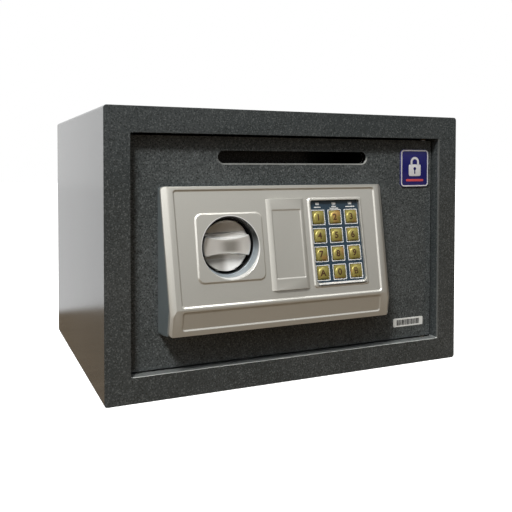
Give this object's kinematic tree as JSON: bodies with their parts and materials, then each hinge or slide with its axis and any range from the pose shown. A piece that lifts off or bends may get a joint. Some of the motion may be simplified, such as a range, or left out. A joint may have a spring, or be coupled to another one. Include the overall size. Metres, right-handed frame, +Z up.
{
  "type": "drop safe with deposit slot",
  "caption": "Small electronic drop safe: folded steel cabinet, recessed hinged door with a deposit slot and chute, leaning lock panel with turning knob, keypad and pull-off key cover",
  "frame": {"origin": "middle of the cabinet's underside", "axes": "+X to the right as seen from the front, +Y from the front to the back, +Z up"},
  "size_m": [0.32, 0.2616, 0.22],
  "materials": {
    "powder_coat": "dark grey powder coat with a fine texture",
    "floor_rubber": "black ribbed rubber",
    "bush_brass": "turned",
    "steel": "turned, plated",
    "zinc": "zinc plated",
    "panel_grey": "moulded dark slate",
    "panel_silver": "satin silver paint",
    "knob_metal": "brushed",
    "nylon": "natural",
    "plug_brass": "polished",
    "overlay": "dark slate blue print",
    "key_gold": "metallic gold with dark figures",
    "board_green": "solder mask",
    "lens_clear": "clear",
    "badge_enamel": "domed resin, blue with a silver edge",
    "label_white": "printed film",
    "copper": "enamelled wire",
    "black_plastic": "moulded",
    "cell_jacket": "printed jacket",
    "red_plastic": "moulded"
  },
  "bodies": {
    "cabinet": {"cabinet_wrap": "powder_coat", "back_panel": "powder_coat", "front_frame": "powder_coat", "floor_mat": "floor_rubber", "hinge_blocks": "powder_coat", "hinge_bushes": "bush_brass"},
    "door": {"door_plate": "powder_coat", "hinge_pins": "steel", "deposit_chute": "powder_coat", "anti_fishing_comb": "powder_coat", "panel_base": "panel_grey", "panel_front": "panel_silver", "panel_screws": "zinc", "badge": "badge_enamel", "serial_label": "label_white", "knob_bush": "nylon", "override_barrel": "steel", "override_nut": "zinc", "keypad_plate": "overlay", "circuit_board": "board_green", "board_screws": "zinc", "status_lamps": "lens_clear", "bolt_bracket": "powder_coat", "guide_studs": "steel", "stud_washers": "zinc", "solenoid_yoke": "zinc", "solenoid_coil": "copper", "rear_case": "powder_coat", "case_screws": "zinc", "battery_tray": "black_plastic", "battery_cells": "cell_jacket", "reset_switch": "black_plastic"},
    "knob_unit": {"knob": "knob_metal", "knob_spindle": "steel", "drive_crank": "zinc", "crank_pin": "steel"},
    "bolt_work": {"bolt_carriage": "zinc", "locking_bolts": "steel", "bolt_nuts": "zinc"},
    "plunger": {"solenoid_plunger": "steel", "plunger_spring": "zinc"},
    "cover": {"override_cover": "panel_silver"},
    "plug": {"override_plug": "plug_brass", "override_lever": "zinc"},
    "lid": {"battery_lid": "black_plastic"},
    "reset": {"reset_button": "red_plastic"},
    "key_1": {"key_1": "key_gold"},
    "key_2": {"key_2": "key_gold"},
    "key_3": {"key_3": "key_gold"},
    "key_4": {"key_4": "key_gold"},
    "key_5": {"key_5": "key_gold"},
    "key_6": {"key_6": "key_gold"},
    "key_7": {"key_7": "key_gold"},
    "key_8": {"key_8": "key_gold"},
    "key_9": {"key_9": "key_gold"},
    "key_0": {"key_0": "key_gold"},
    "key_a": {"key_a": "key_gold"},
    "key_b": {"key_b": "key_gold"}
  },
  "joints": [
    {"name": "door_hinge", "type": "hinge", "parent": "cabinet", "child": "door", "pos_m": [0.1325, -0.1105, 0.11], "axis": [0, 0, 1], "range_deg": [0, 100]},
    {"name": "knob_turn", "type": "hinge", "parent": "door", "child": "knob_unit", "pos_m": [-0.0643, -0.1135, 0.11357], "axis": [0, -1, 0], "range_deg": [0, 90]},
    {"name": "bolt_slide", "type": "slide", "parent": "door", "child": "bolt_work", "axis": [-1, 0, 0], "range_m": [0, 0.01555]},
    {"name": "plunger_drop", "type": "slide", "parent": "door", "child": "plunger", "axis": [0, 0, 1], "range_m": [-0.006, 0], "deforming": ["plunger_spring"]},
    {"name": "cover_off", "type": "slide", "parent": "door", "child": "cover", "axis": [0, -0.9816, 0.1908], "range_m": [0, 0.04]},
    {"name": "plug_turn", "type": "hinge", "parent": "door", "child": "plug", "pos_m": [-0.0151, -0.1135, 0.10997], "axis": [0, -1, 0], "range_deg": [0, 90]},
    {"name": "lid_swing", "type": "hinge", "parent": "door", "child": "lid", "pos_m": [0.06145, -0.0678, 0.14687], "axis": [1, 0, 0], "range_deg": [0, 100]},
    {"name": "reset_press", "type": "slide", "parent": "door", "child": "reset", "axis": [0, -1, 0], "range_m": [0, 0.002], "stiffness_N_per_m": 400},
    {"name": "press_1", "type": "slide", "parent": "door", "child": "key_1", "axis": [0, 0.9816, -0.1908], "range_m": [0, 0.0008], "stiffness_N_per_m": 400},
    {"name": "press_2", "type": "slide", "parent": "door", "child": "key_2", "axis": [0, 0.9816, -0.1908], "range_m": [0, 0.0008], "stiffness_N_per_m": 400},
    {"name": "press_3", "type": "slide", "parent": "door", "child": "key_3", "axis": [0, 0.9816, -0.1908], "range_m": [0, 0.0008], "stiffness_N_per_m": 400},
    {"name": "press_4", "type": "slide", "parent": "door", "child": "key_4", "axis": [0, 0.9816, -0.1908], "range_m": [0, 0.0008], "stiffness_N_per_m": 400},
    {"name": "press_5", "type": "slide", "parent": "door", "child": "key_5", "axis": [0, 0.9816, -0.1908], "range_m": [0, 0.0008], "stiffness_N_per_m": 400},
    {"name": "press_6", "type": "slide", "parent": "door", "child": "key_6", "axis": [0, 0.9816, -0.1908], "range_m": [0, 0.0008], "stiffness_N_per_m": 400},
    {"name": "press_7", "type": "slide", "parent": "door", "child": "key_7", "axis": [0, 0.9816, -0.1908], "range_m": [0, 0.0008], "stiffness_N_per_m": 400},
    {"name": "press_8", "type": "slide", "parent": "door", "child": "key_8", "axis": [0, 0.9816, -0.1908], "range_m": [0, 0.0008], "stiffness_N_per_m": 400},
    {"name": "press_9", "type": "slide", "parent": "door", "child": "key_9", "axis": [0, 0.9816, -0.1908], "range_m": [0, 0.0008], "stiffness_N_per_m": 400},
    {"name": "press_0", "type": "slide", "parent": "door", "child": "key_0", "axis": [0, 0.9816, -0.1908], "range_m": [0, 0.0008], "stiffness_N_per_m": 400},
    {"name": "press_a", "type": "slide", "parent": "door", "child": "key_a", "axis": [0, 0.9816, -0.1908], "range_m": [0, 0.0008], "stiffness_N_per_m": 400},
    {"name": "press_b", "type": "slide", "parent": "door", "child": "key_b", "axis": [0, 0.9816, -0.1908], "range_m": [0, 0.0008], "stiffness_N_per_m": 400}
  ],
  "couplings": [
    {"joint": "knob_turn", "follows": "bolt_slide", "rad_per_m": 100.97}
  ]
}
